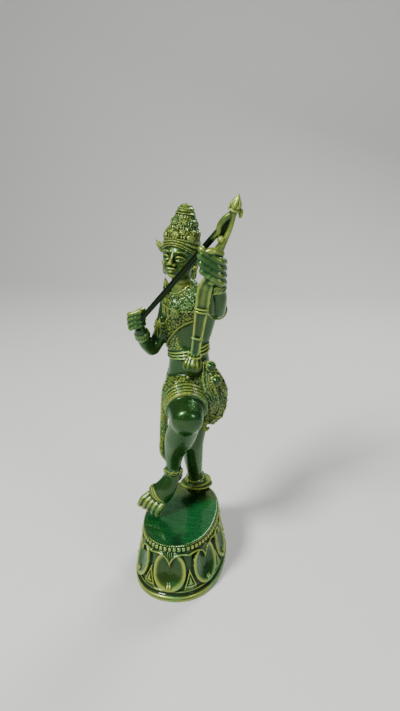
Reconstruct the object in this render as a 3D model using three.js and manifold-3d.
// Cast bronze archer with a tiered crown, drawing a bow, on an oval lotus plinth.
// Millimetres, +Z up. The origin is the centre of the plinth's underside, and the plinth's long axis is Y.
import * as THREE from "three";
import { mergeVertices } from "three/addons/utils/BufferGeometryUtils.js";
import Module from "manifold-3d";

const wasm = await Module();
wasm.setup();

const at = (x, y, z) => new THREE.Vector3(x, y, z);
const rad = THREE.MathUtils.degToRad;
const UP = at(0, 0, 1);
const FRONT = at(0, -1, 0);
const SIDE = at(1, 0, 0);

// Driving dimensions
const PLINTH_HEIGHT = 46;
const FOOT_WIDE = 36.4;
const FOOT_LONG = 55;
const PLATE_WIDE = 28;
const PLATE_LONG = 45.5;
const PETAL_COUNT = 8;
const FIGURE_TURN = 10;
const CLEARANCE = 0.35;
const STRING_RADIUS = 2.1;
const GRIP_RADIUS = 3;

// Joints of the body in the figure's own frame: x to the viewer's right, y away from the viewer.
const PELVIS = at(7, 18, 150);
const WAIST = at(5.7, 16, 180);
const HEAD = at(-0.5, 7, 257);
const LEFT_SHOULDER = at(20.5, 2, 227);
const LEFT_ELBOW = at(27, -27, 225);
const LEFT_FIST = at(22.6, -42, 259);
const RIGHT_SHOULDER = at(-7, 21, 222);
const RIGHT_ELBOW = at(-21.5, 12, 183);
const RIGHT_FIST = at(-31.4, -5, 212);
const RIGHT_KNEE = at(5.4, -26, 141);
const RIGHT_ANKLE = at(-6.5, 0, 84);
const LEFT_KNEE = at(8.5, 14, 103);
const LEFT_ANKLE = at(11, 29, 60);
const BIG_TOE = at(-14.8, -8.5, 49.4);
const LITTLE_TOE = at(-34.4, 1.5, 53);

// The bow's route: the upper tip, a knob above the fist, the grip and the lower limb.
const BOW_TIP = at(34.4, -47, 291);
const BOW_KNOB = at(27.3, -44, 277.5);
const BOW_GRIP = at(22, -42, 248);
const BOW_LOWER = at(16.8, -38.5, 216);
const BOW_END = at(13.4, -35.4, 197);
const STRING_END = at(-36, -3.2, 202.4);

// A closed geometry as a solid whose faces point out.
function solid(geometry) {
  const shell = geometry.clone();
  for (const name of Object.keys(shell.attributes)) {
    if (name !== "position") shell.deleteAttribute(name);
  }
  const merged = mergeVertices(shell, 1e-4);
  const points = merged.attributes.position.array;
  const corner = (i) => at(points[3 * i], points[3 * i + 1], points[3 * i + 2]);
  const faces = [];
  let volume = 0;
  for (let i = 0; i < merged.index.count; i += 3) {
    const [a, b, c] = [0, 1, 2].map((k) => merged.index.getX(i + k));
    if (a === b || b === c || c === a) continue;
    faces.push([a, b, c]);
    volume += corner(a).dot(corner(b).cross(corner(c)));
  }
  const outward = volume > 0 ? faces : faces.map(([a, b, c]) => [a, c, b]);
  const mesh = new wasm.Mesh({
    numProp: 3,
    vertProperties: Float32Array.from(points),
    triVerts: Uint32Array.from(outward.flat()),
  });
  return new wasm.Manifold(mesh);
}

const join = (parts) => parts.reduce((whole, part) => whole.add(part));

function meshOf(name, body, color, roughness) {
  const { numProp, vertProperties, triVerts } = body.getMesh();
  const geometry = new THREE.BufferGeometry();
  const positions = new Float32Array((vertProperties.length / numProp) * 3);
  for (let i = 0; i < positions.length / 3; i += 1) {
    positions.set(vertProperties.subarray(i * numProp, i * numProp + 3), i * 3);
  }
  geometry.setAttribute("position", new THREE.BufferAttribute(positions, 3));
  geometry.setIndex(new THREE.BufferAttribute(Uint32Array.from(triVerts), 1));
  geometry.computeVertexNormals();
  const material = new THREE.MeshStandardMaterial({ color, roughness, metalness: 0.6 });
  const mesh = new THREE.Mesh(geometry, material);
  mesh.name = name;
  return mesh;
}

// A skin over rings of points, each ring a centre with two half axes, closed by a point at each end.
function loft(rings, sides, startCap, endCap, flute) {
  const geometry = new THREE.SphereGeometry(1, sides, rings.length + 1);
  const position = geometry.attributes.position;
  const last = rings.length - 1;
  for (let row = 0; row < rings.length + 2; row += 1) {
    const ring = rings[THREE.MathUtils.clamp(row - 1, 0, last)];
    for (let column = 0; column <= sides; column += 1) {
      const angle = ((column % sides) / sides) * 2 * Math.PI;
      const point = ring.centre.clone();
      if (row === 0) point.addScaledVector(ring.along, -startCap);
      else if (row > rings.length) point.addScaledVector(ring.along, endCap);
      else {
        const swell = flute ? flute(angle, (row - 1) / last) : 1;
        point.addScaledVector(ring.across, Math.cos(angle) * swell);
        point.addScaledVector(ring.deep, Math.sin(angle) * swell);
      }
      position.setXYZ(row * (sides + 1) + column, point.x, point.y, point.z);
    }
  }
  return solid(geometry);
}

// Rings along a smooth route through stations [centre, half width, half depth, turn in degrees]. Each band
// [share of the route, half its length as a share, lift] adds a raised ridge, as a bracelet does.
function ringsAlong(stations, steps, front, bands) {
  const route = new THREE.CatmullRomCurve3(stations.map((s) => s[0]));
  const sizes = new THREE.CatmullRomCurve3(stations.map((s) => at(s[1], s[2], s[3] ?? 0)));
  const outside = (t) => bands.every(([middle, half]) => Math.abs(t - middle) > half * 1.3);
  const places = Array.from({ length: steps + 1 }, (_, i) => [i / steps, 0]).filter(([t]) => outside(t));
  for (const [middle, half, lift] of bands) {
    const shape = [[-1, 0], [-0.5, lift], [0.5, lift], [1, 0]];
    places.push(...shape.map(([side, raised]) => [middle + side * half, raised]));
  }
  places.sort((one, other) => one[0] - other[0]);
  return places.map(([t, lift]) => {
    const size = sizes.getPoint(t);
    const along = route.getTangent(t);
    const across = along.clone().cross(front).normalize().applyAxisAngle(along, rad(size.z));
    const deep = across.clone().cross(along).normalize();
    return {
      centre: route.getPoint(t),
      along,
      across: across.multiplyScalar(size.x + lift),
      deep: deep.multiplyScalar(size.y + lift),
    };
  });
}

// A rounded limb, finger, cord or cloth roll.
function limb(stations, { sides = 10, steps = 6, front = FRONT, cap = 0.7, flute = null, bands = [] } = {}) {
  const rings = ringsAlong(stations, steps, front, bands);
  const first = rings[0];
  const end = rings[rings.length - 1];
  return loft(rings, sides, first.deep.length() * cap, end.deep.length() * cap, flute);
}

function ball(centre, [halfX, halfY, halfZ], { sides = 10, rows = 6, turn = 0 } = {}) {
  const geometry = new THREE.SphereGeometry(1, sides, rows);
  geometry.rotateX(Math.PI / 2);
  geometry.scale(halfX, halfY, halfZ);
  geometry.rotateZ(rad(turn));
  geometry.translate(centre.x, centre.y, centre.z);
  return solid(geometry);
}

// A ring round a limb at a centre, square to a direction.
function cuff(centre, direction, radius, wire, squash = 1) {
  const geometry = new THREE.TorusGeometry(radius, 1, 3, 8);
  geometry.scale(1, squash, wire);
  geometry.applyQuaternion(new THREE.Quaternion().setFromUnitVectors(UP, direction.clone().normalize()));
  geometry.translate(centre.x, centre.y, centre.z);
  return solid(geometry);
}

// A flat pointed leaf standing on a base point along a direction, its broad face towards `face`.
function leaf(base, direction, face, length, halfWidth, thickness) {
  const along = direction.clone().normalize();
  const across = along.clone().cross(face).normalize();
  const deep = across.clone().cross(along).multiplyScalar(thickness);
  const rings = [[0, 0.8], [0.45, 1]].map(([share, width]) => ({
    centre: base.clone().addScaledVector(along, length * share),
    along,
    across: across.clone().multiplyScalar(halfWidth * width),
    deep,
  }));
  return loft(rings, 4, 0.5, length * 0.55);
}

// Torso, with a smooth section at every height that belts, collar and sash are laid on.
const TORSO = [
  [at(7, 18, 138), 12, 10, 0],
  [PELVIS, 18.5, 15, 0],
  [at(6.4, 17, 166), 17.6, 14, 0],
  [WAIST, 17, 12.6, 0],
  [at(5, 15.5, 192), 16, 11.6, -10],
  [at(4, 14.2, 204), 16.4, 12, -22],
  [at(3.6, 13, 215), 17.6, 12, -30],
  [at(4.4, 12, 225), 16.8, 10.6, -33],
  [at(2.6, 11, 232), 11, 8.4, -33],
  [at(0.6, 10, 237), 6.6, 6.4, -33],
];

function torsoSection(height) {
  const upper = Math.max(1, TORSO.findIndex((s) => s[0].z >= height));
  const [low, high] = [TORSO[upper - 1], TORSO[upper]];
  const t = (height - low[0].z) / (high[0].z - low[0].z);
  const mix = (k) => THREE.MathUtils.lerp(low[k], high[k], t);
  return { centre: low[0].clone().lerp(high[0], t), wide: mix(1), deep: mix(2), turn: rad(mix(3)) };
}

function onTorso(height, angle, lift) {
  const { centre, wide, deep, turn } = torsoSection(height);
  const x = Math.cos(angle) * (wide + lift);
  const y = Math.sin(angle) * (deep + lift);
  return at(
    centre.x + x * Math.cos(turn) - y * Math.sin(turn),
    centre.y + x * Math.sin(turn) + y * Math.cos(turn),
    height,
  );
}

// A raised band of square section round the torso, with its height given for every angle.
function band(heightAt, halfWidth, lift) {
  const count = 12;
  const corners = [[lift, 1], [-1.5, 1], [-1.5, -1], [lift, -1], [lift, 1]];
  const geometry = new THREE.TorusGeometry(2, 1, corners.length - 1, count);
  const position = geometry.attributes.position;
  corners.forEach(([outside, side], row) => {
    for (let i = 0; i <= count; i += 1) {
      const angle = ((i % count) / count) * 2 * Math.PI;
      const point = onTorso(heightAt(angle) + side * halfWidth, angle, outside);
      position.setXYZ(row * (count + 1) + i, point.x, point.y, point.z);
    }
  });
  return solid(geometry);
}

function torso() {
  const trunk = limb(TORSO, { sides: 12, steps: 7, cap: 0.3, bands: [[0.325, 0.045, 1.5]] });
  const collar = band((angle) => 225 + 3.2 * Math.sin(angle) + 1.4 * Math.cos(angle), 5.4, 1.8);
  const sash = band((angle) => 204 + 14 * Math.cos(angle + 0.5), 5.6, 1.7);
  return join([trunk, collar, sash]);
}

// Head, face and crown are shaped upright with the face towards -Y, then turned and leaned together.
const headPose = new THREE.Matrix4()
  .makeTranslation(HEAD)
  .multiply(new THREE.Matrix4().makeRotationY(rad(9)))
  .multiply(new THREE.Matrix4().makeRotationX(rad(-5)))
  .multiply(new THREE.Matrix4().makeRotationZ(rad(-24)));

function face() {
  const skull = ball(at(0, 0.5, 1), [12.8, 14.2, 15.2], { sides: 10, rows: 6 });
  const jaw = ball(at(0, -3.5, -8.5), [9.8, 10, 8.6], { sides: 8, rows: 5 });
  const chin = ball(at(0, -9.6, -13.4), [4, 3.4, 3], { sides: 5, rows: 4 });
  const nose = limb(
    [[at(0, -13, 3.4), 1.3, 1], [at(0, -14.4, -0.6), 1.7, 1.3], [at(0, -15.6, -3.6), 2.5, 1.5]],
    { sides: 6, steps: 2 },
  );
  const lips = ball(at(0, -12.4, -8), [3.7, 1.9, 1.8], { sides: 5, rows: 3 });
  const parts = [skull, jaw, chin, nose, lips];
  for (const side of [-1, 1]) {
    parts.push(ball(at(side * 5, -11.6, 0.6), [3.1, 1.9, 1.5], { sides: 5, rows: 3, turn: side * 20 }));
    const brow = [[at(side * 1.6, -13, 3.6), 1.1, 1], [at(side * 5.2, -12.2, 4.9), 1.2, 1.1],
      [at(side * 9.2, -9.4, 3.6), 1, 0.9]];
    parts.push(limb(brow, { sides: 3, steps: 2, front: UP }));
    parts.push(ball(at(side * 12.4, 1, -1.5), [1.9, 3, 5.2], { sides: 5, rows: 3 }));
    parts.push(ball(at(side * 12.6, 0.5, -8), [2.1, 2.1, 2.8], { sides: 5, rows: 3 }));
    parts.push(leaf(at(side * 13, 1, 0.5), at(side * 0.5, 0, 1), FRONT, 11, 3.4, 1.5));
  }
  return parts;
}

// The crown's band arches over the forehead and dips towards the ears.
function crown() {
  const profile = [
    [0, 6], [12.6, 6], [14.2, 8.6], [13.4, 11.8], [12.4, 12.6], [12.6, 18], [9.8, 20],
    [9.6, 25.4], [7, 27.4], [7.4, 29.6], [5.6, 30.6], [5.8, 33], [4, 36], [0, 37],
  ].map(([radius, height]) => new THREE.Vector2(radius, height));
  const tiers = new THREE.LatheGeometry(profile, 12);
  tiers.rotateX(Math.PI / 2);
  const position = tiers.attributes.position;
  for (let i = 0; i < position.count; i += 1) {
    const dip = THREE.MathUtils.clamp((13 - position.getZ(i)) / 4, 0, 1);
    position.setZ(i, position.getZ(i) - dip * 5.5 * (position.getX(i) / 14) ** 2);
  }
  const parts = [solid(tiers)];
  for (const [count, radius, height, length] of [[7, 11.6, 15, 6], [5, 8.6, 23.4, 4.4]]) {
    for (let i = 0; i < count; i += 1) {
      const angle = -Math.PI / 2 + (i / count) * 2 * Math.PI;
      const outward = at(Math.cos(angle), Math.sin(angle), 0);
      const base = outward.clone().multiplyScalar(radius).setZ(height);
      parts.push(leaf(base, UP, outward, length, 3, 1.3));
    }
  }
  return parts;
}

function head() {
  const neckRoute = [[at(0.6, 10, 228), 7.8, 7.4], [at(-0.4, 8.6, 240), 6.8, 6.6],
    [at(-0.6, 8, 249), 7.4, 7]];
  const neck = limb(neckRoute, { sides: 8, steps: 2 });
  const hairRoute = [[at(2.4, 15.5, 236), 8, 4], [at(1.2, 18.5, 246), 11, 5], [at(1, 17, 258), 11, 6]];
  const hairKnot = limb(hairRoute, { sides: 8, steps: 2 });
  const upright = join([...face(), ...crown()]);
  return join([upright.transform(headPose.elements), neck, hairKnot]);
}

// Four bent fingers laid across a grip, with the back of the hand behind them.
function fist(centre, palm, { spread, reach, depth, slant, thick, toward }) {
  const parts = [ball(centre.clone().addScaledVector(toward, -depth * 0.25), palm, { sides: 7, rows: 4 })];
  for (let i = 0; i < 4; i += 1) {
    const height = (i - 1.5) * spread;
    const curl = [[-1, 0.2], [-0.5, 0.98], [0.45, 1], [1, 0.1]];
    const route = curl.map(([side, out]) => {
      const joint = centre.clone().add(at(side * reach, 0, height - side * slant));
      return [joint.addScaledVector(toward, out * depth), thick, thick];
    });
    parts.push(limb(route, { sides: 4, steps: 3, front: UP, cap: 0.5 }));
  }
  return parts;
}

function leftArm() {
  const wrist = LEFT_FIST.clone().add(at(2.5, 4, -9));
  const near = (x, y, z) => LEFT_FIST.clone().add(at(x, y, z));
  const upperRoute = [[LEFT_SHOULDER, 8.4, 8.6], [at(24, -8, 227), 7.4, 7.6],
    [at(26.5, -19, 225.6), 6.2, 6.4], [LEFT_ELBOW, 5.6, 5.8]];
  const upper = limb(upperRoute, { sides: 8, steps: 3, front: UP, bands: [[0.5, 0.07, 1.2]] });
  const lower = limb([[LEFT_ELBOW, 5.8, 5.6], [at(27.5, -33, 236), 6.2, 5.8], [wrist, 4.6, 4.4]],
    { sides: 8, steps: 3, front: SIDE, bands: [[0.78, 0.07, 1]] });
  const hand = fist(LEFT_FIST, [7.6, 6.4, 9.6],
    { spread: 5.2, reach: 7.4, depth: 5.6, slant: 3, thick: 2.5, toward: at(-0.15, -1, 0) });
  const thumbRoute = [[near(6, -1, 8), 2.6, 2.6], [near(0, -5.4, 10.6), 2.5, 2.5],
    [near(-6, -4.2, 9.2), 2.2, 2.2]];
  const thumb = limb(thumbRoute, { sides: 4, steps: 2, front: UP });
  return join([upper, lower, ...hand, thumb]);
}

function rightArm() {
  const upper = limb([[RIGHT_SHOULDER, 8, 8], [at(-10.6, 19, 208), 6.8, 7], [at(-15.4, 16, 194), 5.8, 6],
    [RIGHT_ELBOW, 5.4, 5.4]], { sides: 8, steps: 3, front: SIDE, bands: [[0.5, 0.08, 1.2]] });
  const wrist = RIGHT_FIST.clone().add(at(2, 4.5, -8.5));
  const lower = limb([[RIGHT_ELBOW, 5.4, 5.4], [at(-26, 7, 190.5), 5.6, 5.4], [wrist, 4.2, 4.2]],
    { sides: 8, steps: 3, front: SIDE, bands: [[0.82, 0.07, 1]] });
  const hand = fist(RIGHT_FIST, [5.4, 5.6, 7.8],
    { spread: 4.1, reach: 4.7, depth: 4.2, slant: -1.6, thick: 1.95, toward: at(-0.35, -1, 0) });
  const point = leaf(at(-15.6, 12, 199), at(1.6, 0.4, 10), at(-0.6, -1, 0), 13, 3.6, 1.5);
  return join([upper, lower, ...hand, point]);
}

// Front leg, with the knee raised and the foot on its toes.
function frontLeg() {
  const thighRoute = [[at(2, 20, 153), 15, 14], [at(3.6, -2, 147), 14.4, 13.8],
    [at(5, -19, 142.5), 13.6, 13.2], [RIGHT_KNEE, 12.2, 12]];
  const thigh = limb(thighRoute, { sides: 12, steps: 3, front: UP });
  const shinRoute = [[at(5, -22, 140), 11.6, 10], [at(1.6, -14, 122), 10.8, 10.2],
    [at(-3, -5.5, 105), 7.8, 8.2], [RIGHT_ANKLE, 5, 5.4]];
  const shin = limb(shinRoute, { sides: 10, steps: 4, bands: [[0.965, 0.03, 1.5]] });
  const toeLine = LITTLE_TOE.clone().sub(BIG_TOE);
  const toeRoot = BIG_TOE.clone().lerp(LITTLE_TOE, 0.44).add(at(2.6, 1.8, 6.4));
  const instepRoute = [[at(-5.5, 1.5, 86), 5.6, 6], [at(-9, -0.6, 76), 7.2, 6.6],
    [at(-15, -3, 66), 9.4, 5.8], [toeRoot, 10.4, 4.4]];
  const instep = limb(instepRoute, { sides: 10, steps: 3, front: at(0.39, 0.84, -0.32) });
  const heel = ball(at(-3.4, 4.6, 78), [4.6, 5, 6.4], { sides: 6, rows: 4 });
  const parts = [thigh, shin, instep, heel];
  for (let i = 0; i < 5; i += 1) {
    const t = i / 4;
    const thick = 3.3 - 0.7 * t;
    const tip = BIG_TOE.clone().addScaledVector(toeLine, t);
    const root = toeRoot.clone().addScaledVector(toeLine, (t - 0.5) * 0.84).add(at(0, -0.4, -0.6));
    const knuckle = root.clone().lerp(tip, 0.55).add(at(-0.6, -1, 1));
    const route = [[root, thick, thick], [knuckle, thick, thick], [tip, thick * 0.9, thick * 0.8]];
    parts.push(limb(route, { sides: 5, steps: 2, cap: 0.6 }));
  }
  for (const [dx, dy] of [[-6, -2.4], [6, -3]]) {
    const base = RIGHT_ANKLE.clone().add(at(dx, dy, -1));
    parts.push(leaf(base, at(dx * 0.12, dy * 0.1, 1), FRONT, 9, 2.6, 1.2));
  }
  return join(parts);
}

// Back leg, with the foot flat and a dished ring round the ankle's foot.
function backLeg() {
  const thigh = limb([[at(12, 20, 152), 14, 13], [at(11, 18, 128), 12, 12], [LEFT_KNEE, 9.4, 9.6]],
    { sides: 10, steps: 3 });
  const shin = limb([[LEFT_KNEE, 9.4, 9.6], [at(9.4, 20, 84), 8, 8.6], [LEFT_ANKLE, 5.8, 6.2]],
    { sides: 10, steps: 3, bands: [[0.95, 0.035, 1.4]] });
  const sole = PLINTH_HEIGHT + CLEARANCE + 3.2;
  const footRoute = [[at(9, 25, sole + 1), 6, 4.4], [at(12, 32, sole + 2.4), 6.4, 5.4],
    [at(15.4, 39, sole), 7.6, 4], [at(17.6, 43.5, sole - 0.6), 7.4, 3]];
  const foot = limb(footRoute, { sides: 8, steps: 3, front: UP });
  const parts = [thigh, shin, foot];
  for (let i = 0; i < 5; i += 1) {
    const side = (i - 2) * 3.2;
    const root = at(18.2 + side * 0.9, 42.6 - side * 0.42, sole - 1);
    const tip = root.clone().add(at(2, 4.4 - Math.abs(i - 3) * 0.5, -0.6));
    parts.push(limb([[root, 1.9, 1.9], [tip, 1.7, 1.6]], { sides: 4, steps: 1, front: UP }));
  }
  const ringRoute = [[at(12, 28.6, 52.6), 8, 7.4], [at(12, 28.4, 55.2), 12.8, 11.6],
    [at(12, 28.6, 57.4), 12.8, 11.6], [at(11.4, 28.8, 60.4), 7.4, 7.4]];
  parts.push(limb(ringRoute, { sides: 14, steps: 3, cap: 0.1 }));
  for (const dx of [-8, 8]) {
    parts.push(leaf(at(11 + dx, 24.5, 59), at(dx * 0.03, 0, 1), FRONT, 9, 2.6, 1.2));
  }
  return join(parts);
}

// Wrapped skirt over the hips and the front thigh, with pleats cut as flutes.
function dress() {
  const pleated = (count, depth) => (angle) => 1 + depth * Math.cos(count * angle);
  const skirtRoute = [[at(6.4, 17, 171), 18.2, 14.4], [at(7.4, 17.5, 158), 19.8, 16.2],
    [at(9.6, 18.5, 143), 19, 17], [at(11, 18.5, 131), 15.4, 15.4]];
  const skirt = limb(skirtRoute, { sides: 16, steps: 3, cap: 0.1, flute: pleated(8, 0.03) });
  const wrapRoute = [[at(2.6, 14, 153), 17, 16], [at(3.6, 0, 148.5), 16.4, 15.6],
    [at(4.4, -9, 146), 15.6, 14.8], [at(4.8, -14.5, 144.6), 15, 14.4]];
  const hem = { sides: 12, steps: 2, front: UP, cap: 0.1, bands: [[0.93, 0.05, 0.9]] };
  const thighWrap = limb(wrapRoute, hem);
  const sideRoute = [[at(21, 14, 171), 5, 5], [at(25, 12, 160), 8.4, 9], [at(26.6, 10.5, 146), 8.8, 10],
    [at(25, 9, 133), 7, 8], [at(21.6, 8, 124), 3.4, 3.4]];
  const sideCloth = limb(sideRoute, { sides: 12, steps: 4, cap: 0.5, flute: pleated(6, 0.07) });
  const rosette = (centre) => ball(centre, [3.2, 2.6, 3.2], { sides: 6, rows: 3 });
  const rosettes = [at(22.2, 7, 169), at(26.4, 3.6, 161)].map(rosette);
  const knotRoute = [[at(11.6, 1.6, 184), 4.4, 2.4], [at(11, 0.2, 177), 6.2, 3.6],
    [at(10.4, -0.8, 168), 8.4, 5], [at(10, 0, 161), 6.6, 3.6]];
  const knot = limb(knotRoute, { sides: 12, steps: 3, cap: 0.5, flute: pleated(6, 0.08) });
  const knotRim = cuff(at(12, -0.6, 184), at(0.1, -0.5, 1), 4.8, 1.2, 0.6);
  const sashRoute = [[at(-8, 8, 172), 3, 2], [at(-11.4, 5.6, 152), 3.2, 2], [at(-13, 2.4, 132), 3, 1.8],
    [at(-13.4, -0.6, 114), 3.4, 1.8], [at(-12.4, -3.4, 103), 4.4, 2], [at(-8.2, -5.6, 97.6), 4, 2.2]];
  const hangingSash = limb(sashRoute, { sides: 5, steps: 6 });
  return join([skirt, thighWrap, sideCloth, ...rosettes, knot, knotRim, hangingSash]);
}

// The bow, with `swell` added all round for the space that the hands leave for it.
function bow(swell) {
  const station = (centre, wide, deep) => [centre, wide + swell, deep + swell];
  const string = limb([station(BOW_TIP, STRING_RADIUS, STRING_RADIUS),
    station(STRING_END, STRING_RADIUS * 0.82, STRING_RADIUS * 0.82)],
  { sides: 6, steps: 1, front: UP, cap: 0.4 });
  const upper = limb([station(at(36, -48, 295), 2.4, 2.4), station(at(33.4, -46.4, 288), 1.9, 1.9),
    station(at(30.8, -45.2, 282.5), 2, 2), station(BOW_KNOB, 2.9, 2.9),
    station(at(24.6, -43, 268), GRIP_RADIUS, GRIP_RADIUS), station(BOW_GRIP, GRIP_RADIUS, GRIP_RADIUS)],
  { sides: 6, steps: 7, cap: 0.4 });
  const lower = limb([station(at(22.4, -42, 251), 3.2, 2.6), station(at(20.6, -41.3, 243), 4.6, 2.4),
    station(at(18.8, -40.2, 229), 4.2, 2.2), station(BOW_LOWER, 3.6, 2), station(BOW_END, 2.9, 1.8)],
  { sides: 8, steps: 4, cap: 0.9 });
  return [string, upper, lower];
}

function bowTrim() {
  const way = at(3.7, -3, 12.5).normalize();
  const root = at(36, -48, 295.5);
  const along = (length) => root.clone().addScaledVector(way, length);
  const near = (x, y, z) => root.clone().add(at(x, y, z));
  const budRoute = [[root, 2.6, 2.6], [along(3.4), 3.8, 3.6], [along(6.6), 2.8, 2.7], [along(10), 0.7, 0.7]];
  const bud = limb(budRoute, { sides: 7, steps: 3, cap: 0.6 });
  const collar = cuff(root, way, 3, 1.1);
  const curl = limb([[near(1.5, 1, 1), 2, 1], [near(4, 1.6, -1.4), 1.9, 1], [near(4, 1.4, -5), 1, 0.8]],
    { sides: 5, steps: 2 });
  const bandAt = (centre, radius) => cuff(centre, at(4, -2, 26), radius, 1.3, 0.55);
  return [bud, collar, curl, bandAt(at(18.9, -40.2, 230), 4.6), bandAt(at(15.6, -37.4, 208.5), 3.7)];
}

// Plinth: the point on its oval at a share of the way round, counted by length from the front.
function ovalPoint(share, wide, long) {
  const steps = 240;
  const power = 2 / 2.25;
  const onOval = (angle) => {
    const [s, c] = [Math.sin(angle), Math.cos(angle)];
    return at(wide * Math.sign(s) * Math.abs(s) ** power, -long * Math.sign(c) * Math.abs(c) ** power, 0);
  };
  const lengths = [0];
  for (let i = 1; i <= steps; i += 1) {
    const stride = onOval((i / steps) * 2 * Math.PI).distanceTo(onOval(((i - 1) / steps) * 2 * Math.PI));
    lengths.push(lengths[i - 1] + stride);
  }
  const goal = (((share % 1) + 1) % 1) * lengths[steps];
  const index = Math.max(1, lengths.findIndex((length) => length >= goal));
  const part = (goal - lengths[index - 1]) / (lengths[index] - lengths[index - 1]);
  return onOval(((index - 1 + part) / steps) * 2 * Math.PI);
}

const OVAL_SIDES = 40;
const RIM_HEIGHT = 43.4;
const LIP_HEIGHT = 37.4;
const LIP_DIP = 6;
const footOval = Array.from({ length: OVAL_SIDES }, (_, i) => {
  return ovalPoint(i / OVAL_SIDES, FOOT_WIDE, FOOT_LONG);
});

// The foot's oval drawn in towards the plate, with the same share of border all round.
function plinthOval(inset) {
  const run = inset / (FOOT_WIDE - PLATE_WIDE);
  return { wide: FOOT_WIDE - inset, long: FOOT_LONG - run * (FOOT_LONG - PLATE_LONG) };
}

// Foot rim, wall behind the petals, scalloped lip and plate. The lip dips to a point over each petal's
// middle, and the bead row is every second point of its ring pushed out.
function plinthCore() {
  const profile = [[0.5, 0], [0, 1.6], [0, 4.4], [2.6, 7], [3.4, 10], [9, 34], [6.8, LIP_HEIGHT], [8, 40.4],
    [7.4, RIM_HEIGHT], [8.2, PLINTH_HEIGHT]];
  const geometry = new THREE.SphereGeometry(1, OVAL_SIDES, profile.length + 1);
  const position = geometry.attributes.position;
  for (let row = 0; row < profile.length + 2; row += 1) {
    const [inset, height] = profile[THREE.MathUtils.clamp(row - 1, 0, profile.length - 1)];
    const bead = height === RIM_HEIGHT ? 1.3 : 0;
    const dip = height === LIP_HEIGHT ? LIP_DIP : 0;
    for (let column = 0; column <= OVAL_SIDES; column += 1) {
      const fromCusp = (column * PETAL_COUNT) / OVAL_SIDES;
      const scallop = dip * Math.abs(Math.cos(Math.PI * fromCusp)) ** 4;
      const { wide, long } = plinthOval(inset - bead * (column % 2));
      const pole = row === 0 || row > profile.length;
      const point = footOval[column % OVAL_SIDES].clone().multiplyScalar(pole ? 0 : 1);
      point.multiply(at(wide / FOOT_WIDE, long / FOOT_LONG, 1));
      position.setXYZ(row * (OVAL_SIDES + 1) + column, point.x, point.y, height - scallop);
    }
  }
  return solid(geometry);
}

// A shape laid on the plinth's side, centred at a share of the way round.
function onSide(share, across, height, inset, lift) {
  const { wide, long } = plinthOval(inset);
  const girth = 2 * Math.PI * Math.sqrt((wide ** 2 + long ** 2) / 2);
  const place = ovalPoint(share + across / girth, wide, long);
  const next = ovalPoint(share + across / girth + 0.002, wide, long);
  const along = next.sub(place).normalize();
  return place.add(at(along.y, -along.x, 0).multiplyScalar(lift)).setZ(height);
}

// A dished petal with a raised border, from rings [share of the outline, lift] that start at its middle.
function petal(share) {
  const low = 8.4;
  const tall = 29;
  const halfWidth = 12.4;
  const columns = 12;
  const rings = [[0, 1.4], [0.74, 1], [0.86, 2.6], [1, -1.6], [0, -2]];
  const geometry = new THREE.SphereGeometry(1, columns, rings.length - 1);
  const position = geometry.attributes.position;
  const rounded = (value, power) => Math.sign(value) * Math.abs(value) ** power;
  rings.forEach(([spread, lift], row) => {
    for (let column = 0; column <= columns; column += 1) {
      const angle = ((column % columns) / columns) * 2 * Math.PI;
      const height = low + tall * (0.5 + 0.5 * spread * rounded(Math.sin(angle), 0.8));
      const across = rounded(Math.cos(angle), 0.7) * spread * halfWidth;
      const inset = 3.2 + ((height - low) / tall) * 5.4;
      const point = onSide(share, across, height, inset, lift + 0.2);
      position.setXYZ(row * (columns + 1) + column, point.x, point.y, point.z);
    }
  });
  return solid(geometry);
}

function smallLeaf(share) {
  const base = onSide(share, 0, 10.2, 3.6, -0.4);
  const tip = onSide(share, 0, 22, 5.4, 0.4);
  const outward = onSide(share, 0, 10, 3.6, 1).sub(onSide(share, 0, 10, 3.6, 0));
  return limb([[base, 4.4, 1.8], [tip, 0.6, 0.9]], { sides: 4, steps: 1, front: outward, cap: 0.5 });
}

function plinth() {
  const parts = [plinthCore()];
  for (let i = 0; i < PETAL_COUNT; i += 1) {
    parts.push(petal(i / PETAL_COUNT));
    parts.push(smallLeaf((i + 0.5) / PETAL_COUNT));
  }
  return join(parts);
}

const archer = join([torso(), head(), leftArm(), rightArm(), frontLeg(), backLeg(), dress()]);
const floorGeometry = new THREE.BoxGeometry(200, 200, PLINTH_HEIGHT + CLEARANCE);
floorGeometry.translate(0, 0, (PLINTH_HEIGHT + CLEARANCE) / 2);
const figureSolid = archer.subtract(join(bow(CLEARANCE))).subtract(solid(floorGeometry));
const bowSolid = join([...bow(0), ...bowTrim()]);

const part = new THREE.Group();
const turned = new THREE.Group();
turned.rotation.z = rad(FIGURE_TURN);
turned.add(meshOf("figure", figureSolid, 0x4f6a2c, 0.35));
turned.add(meshOf("bow", bowSolid, 0x59602f, 0.4));
part.add(turned);
part.add(meshOf("lotus_plinth", plinth(), 0x5c7434, 0.4));

export default part;
